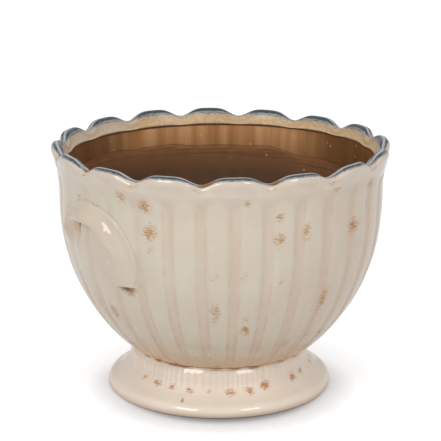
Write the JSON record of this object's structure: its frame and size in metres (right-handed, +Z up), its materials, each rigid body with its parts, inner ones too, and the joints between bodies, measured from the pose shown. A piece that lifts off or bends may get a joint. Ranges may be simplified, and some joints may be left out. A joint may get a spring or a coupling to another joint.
{
  "type": "planter",
  "caption": "Footed round planter in cream-glazed earthenware: fluted bowl, scalloped rolled rim with a blue-grey edge, flared foot and arched lug handles on opposite sides.",
  "frame": {"origin": "centre of the underside of the foot, on the ground", "axes": "+Z up along the axis of the pot; the two handles stand on -X and +X; Y across"},
  "size_m": [0.3004, 0.2912, 0.22],
  "materials": {
    "cream_glaze": "glossy cream lead glaze over fired earthenware, with ochre-brown breaks",
    "rim_glaze": "glossy blue-grey glaze on the rolled rim, breaking brown in the valleys",
    "foot_glaze": "glossy pale cream glaze on the foot, with brown wear spots at the ends of the ribs",
    "pooled_glaze": "brown glaze pooled in the corner between bowl and foot"
  },
  "bodies": {
    "root": {"bowl": "cream_glaze", "rim_roll": "rim_glaze", "foot": "foot_glaze", "joint_bead": "pooled_glaze", "handle_right": "cream_glaze", "handle_left": "cream_glaze"}
  },
  "joints": []
}
